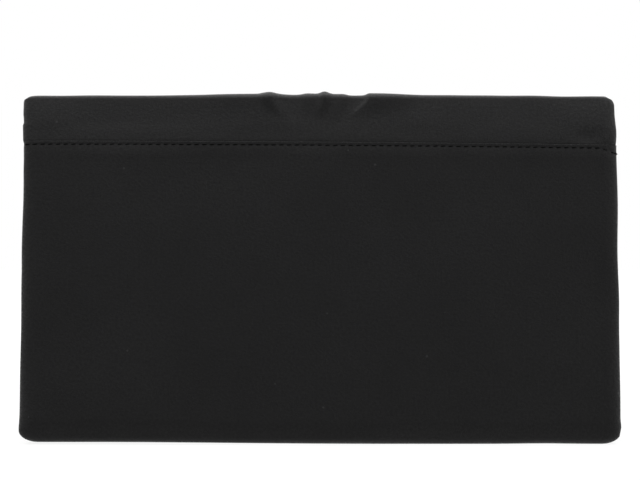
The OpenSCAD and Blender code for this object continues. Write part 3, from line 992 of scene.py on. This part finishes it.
def build_base_lining():
    low, high = box_mm("base_lining")
    across = lines(low[0], high[0], 2, 2, 2.5)
    along = lines(low[1], high[1], 2, 2, 1.5)

    def rise(x, v):
        ends = quarter((high[0] - np.abs(x)) / 3) * quarter((high[1] - v) / 2) * quarter((v - low[1]) / 2)
        return 0.1 + 0.5 * ends + 0.1 * soft_noise(x, v, 20, 33) * ends

    def place(x, v, n):
        return at(x, v, low[2] + n)

    lining = sheet("base_inside", place, across, along, (0, 0, 1), rise)
    finish_piece(lining, lining_satin, "lining", "base_lining", body="body")


def gusset_surface(side, outward):
    """A side's cloth, folded inward between the two walls, and outward of the lining's inner face.

    It is placed by t, from -1 at the front wall to 1 at the back, and by its height.
    """
    opening = math.tan(math.radians(5))

    def place(t, z, n):
        y_back = back.yz(back.height(z), -INNER_FACE)[0]
        y_front = front.yz(front.height(z), -INNER_FACE)[0]
        gap = (y_back - y_front) / 2
        leg = gap + np.maximum(z - 2, 0) * opening
        fold = np.sqrt(leg**2 - gap**2)
        crease = np.sqrt(t**2 + 0.003)
        crease = (crease - math.sqrt(0.003)) / (math.sqrt(1.003) - math.sqrt(0.003))
        tip = -fold + outward * np.minimum(leg / gap, 2.2)
        rim = outward * gap / leg
        x = body_w - 3.1 + rim * crease + tip * (1 - crease) + n * gap / leg
        y = (y_back + y_front) / 2 + t * (gap - outward * fold / leg) - np.sign(t) * n * fold / leg
        if outward:
            flange = smooth(0.84, 1, np.abs(t))
            x = x + 0.8 * flange
            y = y + np.sign(t) * (0.25 + outward * fold / leg) * flange
        return at(side * x, y, z)

    return place


def build_gussets():
    high = box_mm("right_gusset")[1][2]
    for side, name in ((-1, "left"), (1, "right")):
        for part, outward, low, cloth, slot, node in (
            ("gusset_cloth", 1.2, 2.4, black_cloth, "black_cloth", "gusset"),
            ("gusset_inside", 0.0, 3.6, lining_satin, "lining", "gusset_lining"),
        ):
            across = lines(-1, 1, 0.12, 0.12, 0.045)
            along = lines(low, high, None, 2, 1.6)

            def soft(t, z):
                bulge = 0.3 * np.sin(math.pi * np.abs(t)) * smooth(5, 40, z) * smooth(118, 100, z)
                return bulge + 0.08 * soft_noise(t * 12, z, 17, 41 + side) * (1 - t**2)

            facing_out = (side, 0, 0) if outward else (-side, 0, 0)
            piece = sheet(f"{name}_{part}", gusset_surface(side, outward), across, along, facing_out, soft,
                          thickness=0.45, spread=16.0)
            finish_piece(piece, cloth, slot, f"{name}_{node}")
            bend_between(piece)


# ---------- Lining, pocket ----------

lining_w = body_w - 3.2


def lining_paths():
    """The lining's face on the back wall and under the spine, and on the flap."""
    y0, z0 = back_crease
    y1, z1 = front_crease
    points = [back.yz(v, -TURN_IN - 0.15) for v in (3.5, 30, 60, 90, 115, back.height(z0 - 4))]
    points += [(y0 - 1.0, z0 - 1.4), (y0 - 1.8, z0 - 0.3), (split_y, z0 + 0.1)]
    flap_points = [(split_y, z0 + 0.1), (y1 + 0.9, z1 - 0.2), (y1 - 0.15, z1 - 1.3)]
    for z in (z1 - 4, z1 - 30, z1 - 60):
        flap_points.append(flap.yz(flap.height(z), -3.45))
    flap_points.append(flap.yz(flap.height(flap_end_z + 4), -3.3))
    return Path(points), Path(flap_points)


def inward(path, wide, narrow):
    """Places on a path's inner side. From v = narrow on, between the upper corners, they draw in."""
    return lambda x, v, n: path.place(x * (1 - 0.022 * smooth(wide, narrow, v)), v, -n)


def lining_edge(x, width):
    """0 at a lining's side seams, and 1 from a width inside them on."""
    return quarter((lining_w - np.abs(x)) / width)


def waves(seed, length):
    """The height of a lining that lies a little loose, over its length."""
    def height(x, v):
        edge = lining_edge(x, 2.5) * smooth(0, 4, v) * smooth(0, 4, length - v)
        ripples = 0.1 * soft_noise(x, v, 34, seed) + 0.04 * soft_noise(x, v, 12, seed + 1)
        return 0.55 * edge - 0.15 + ripples * edge
    return height


def build_back_lining(path):
    length = path.length[-1]
    across = lines(-lining_w, lining_w, 2, 2, 2.5)
    along = stretches(0, (length - 12, 2.0), (length, 0.6))
    piece = sheet("back_inside", inward(path, length - 11, length - 4), across, along, (0, -1, 0),
                  waves(51, length))
    finish_piece(piece, lining_satin, "lining", "back_lining", "fold_lining")
    bend_between(piece)


def build_flap_lining(path):
    length = path.length[-1]
    across = lines(-flap_w + 4, flap_w - 4, 2, 2, 2.5)
    along = stretches(0, (9, 0.6), (length, 2.0))
    piece = sheet("flap_inside", inward(path, 10, 3), across, along, (0, 1, 0), waves(55, length))
    finish_piece(piece, lining_satin, "lining", "flap_lining")
    bend_between(piece)


def build_front_lining():
    across = lines(-lining_w, lining_w, 2, 2, 2.5)
    along = lines(3, mouth_v - 1.2, None, 2, 2.0)

    def place(x, v, n):
        return front.place(x, v, -INNER_FACE - n)

    def height(x, v):
        edge = lining_edge(x, 6) * smooth(mouth_v - 2, mouth_v - 12, v)
        return (0.9 + 0.12 * soft_noise(x, v, 33, 61)) * edge - 0.1

    piece = sheet("front_inside", place, across, along, (0, 1, 0), height)
    finish_piece(piece, lining_satin, "lining", "front_lining", body="front")


def build_pocket():
    """A flat pocket on the back wall, with a hem along its mouth, which stands a little open."""
    low, high = box_mm("slip_pocket")
    half_w = high[0]
    v0, v1 = back.height(low[2]), back.height(high[2])
    across = lines(-half_w, half_w, 2, 2, 2.0)

    def place(x, v, n):
        return back.place(x, v, -TURN_IN - 0.75 - n)

    def mouth(x, v):
        sides = quarter((half_w - np.abs(x)) / 14)
        open_top = smooth(v0, v1, v)
        return sides * (0.1 + 0.45 * open_top) + 0.08 * soft_noise(x, v, 25, 71) * sides

    def hem(x, v):
        return mouth(x, v) + 0.42

    along = lines(v0, v1, 2, None, 1.5)
    pocket = sheet("pocket", place, across, along, (0, -1, 0), mouth)
    finish_piece(pocket, lining_satin, "lining", "slip_pocket", body="body")
    band = sheet("pocket_band", place, across, lines(v1 - 9, v1 + 0.3, 0.8, 0.8, 1.2), (0, -1, 0), hem)
    finish_piece(band, lining_satin, "lining", "pocket_hem", body="body")

    def height(x, v):
        return np.where(v > v1 - 9, hem(x, v), mouth(x, v)) + 0.1

    spots = [(x, v, 1.0, 0.0) for x in np.arange(-half_w + 4, half_w - 3, 3.0) for v in (v0 + 2, v1 - 7.6)]
    spots += [(x, v, 0.0, 1.0) for x in (2 - half_w, half_w - 2) for v in np.arange(v0 + 5, v1 - 2, 3.0)]
    thread_piece = stitches("pocket_stitching", place, spots, height, radius=0.17, length=2.1)
    finish_piece(thread_piece, lining_thread, "thread", "pocket_stitches", body="body")


# ---------- Stage ----------

def floor_material():
    """White to the camera, and a little greyer near the purse. It lights the purse most from below."""
    g = Graph("pale_floor")
    spot = g.coordinate()
    distance = g.node("VectorMath", {0: spot}, operation="LENGTH").outputs["Value"]
    white = g.node("Emission", {1: g.remap(distance, 150 * MM, 500 * MM, 0.89, 1.0)})
    soft = g.node("BsdfDiffuse", {0: grey(0.13)})
    seen = g.node("AddShader", {0: soft.outputs[0], 1: white.outputs[0]})
    away = g.math("ABSOLUTE", g.axis(spot, 1))
    inside, outside = 18.5 * MM, 21.5 * MM  # of the purse's footprint, in Y
    bounce = g.remap(away, inside, outside, 1.32, 0.54, interpolation_type="SMOOTHSTEP")
    lit = g.node("Emission", {1: bounce})
    g.node("OutputMaterial", {0: g.seen_or_lit(seen, lit)})
    return g.material


def build_floor():
    half, low = 4000, -0.15
    corners = [(x, y, low) for x, y in ((-half, -half), (half, -half), (half, half), (-half, half))]
    floor = make_mesh("floor", corners, [(0, 1, 2, 3)])
    floor.data.materials.append(floor_material())


def build_world():
    """A white studio, whose light on the purse is stronger from the front than from the camera's side."""
    world = bpy.data.worlds.new("studio")
    bpy.context.scene.world = world
    g = Nodes(world)
    seen = g.node("Background", {0: grey(1.0)})
    strength = g.remap(g.axis(g.coordinate("Generated"), 1), -1.0, 1.0, 1.0, 0.27)
    lit = g.node("Background", {0: strength})
    g.node("OutputWorld", {0: g.seen_or_lit(seen, lit)})


def build_softbox():
    """A wide soft lamp above. Its sizes are in metres."""
    light = bpy.data.lights.new("softbox", "AREA")
    light.shape = "RECTANGLE"
    light.size = 1.3
    light.size_y = 0.8
    light.energy = 20.0
    lamp = bpy.data.objects.new("softbox", light)
    lamp.location = (0, 0, 1.3)
    bpy.context.scene.collection.objects.link(lamp)


def build_camera():
    """Square to the back, a little above the middle of the purse, and 70 cm away."""
    distance, height = 700.0, 86.4
    camera = bpy.data.cameras.new("camera")
    camera.sensor_width = 36.0
    camera.lens = 93.3
    camera.clip_start = 0.01
    eye = bpy.data.objects.new("camera", camera)
    eye.location = (0, (back.foot + distance) * MM, height * MM)
    eye.rotation_euler = (math.radians(90), 0, math.radians(180))
    bpy.context.scene.collection.objects.link(eye)
    bpy.context.scene.camera = eye


build_back()
build_seam_stitches()
build_over_the_top()
build_fold_padding()
build_flap_inside()
build_front()
build_base_cover()
build_base_card()
build_base_lining()
build_gussets()
back_lining_path, flap_lining_path = lining_paths()
build_back_lining(back_lining_path)
build_flap_lining(flap_lining_path)
build_front_lining()
build_pocket()
for part in ("snap_stud", "stud_washer", "snap_socket", "socket_washer"):
    dress(part, nickel, 0.12)
dress("snap_magnet", dark_magnet)
build_floor()
build_world()
build_softbox()
build_camera()
bpy.context.scene.view_settings.view_transform = "Standard"
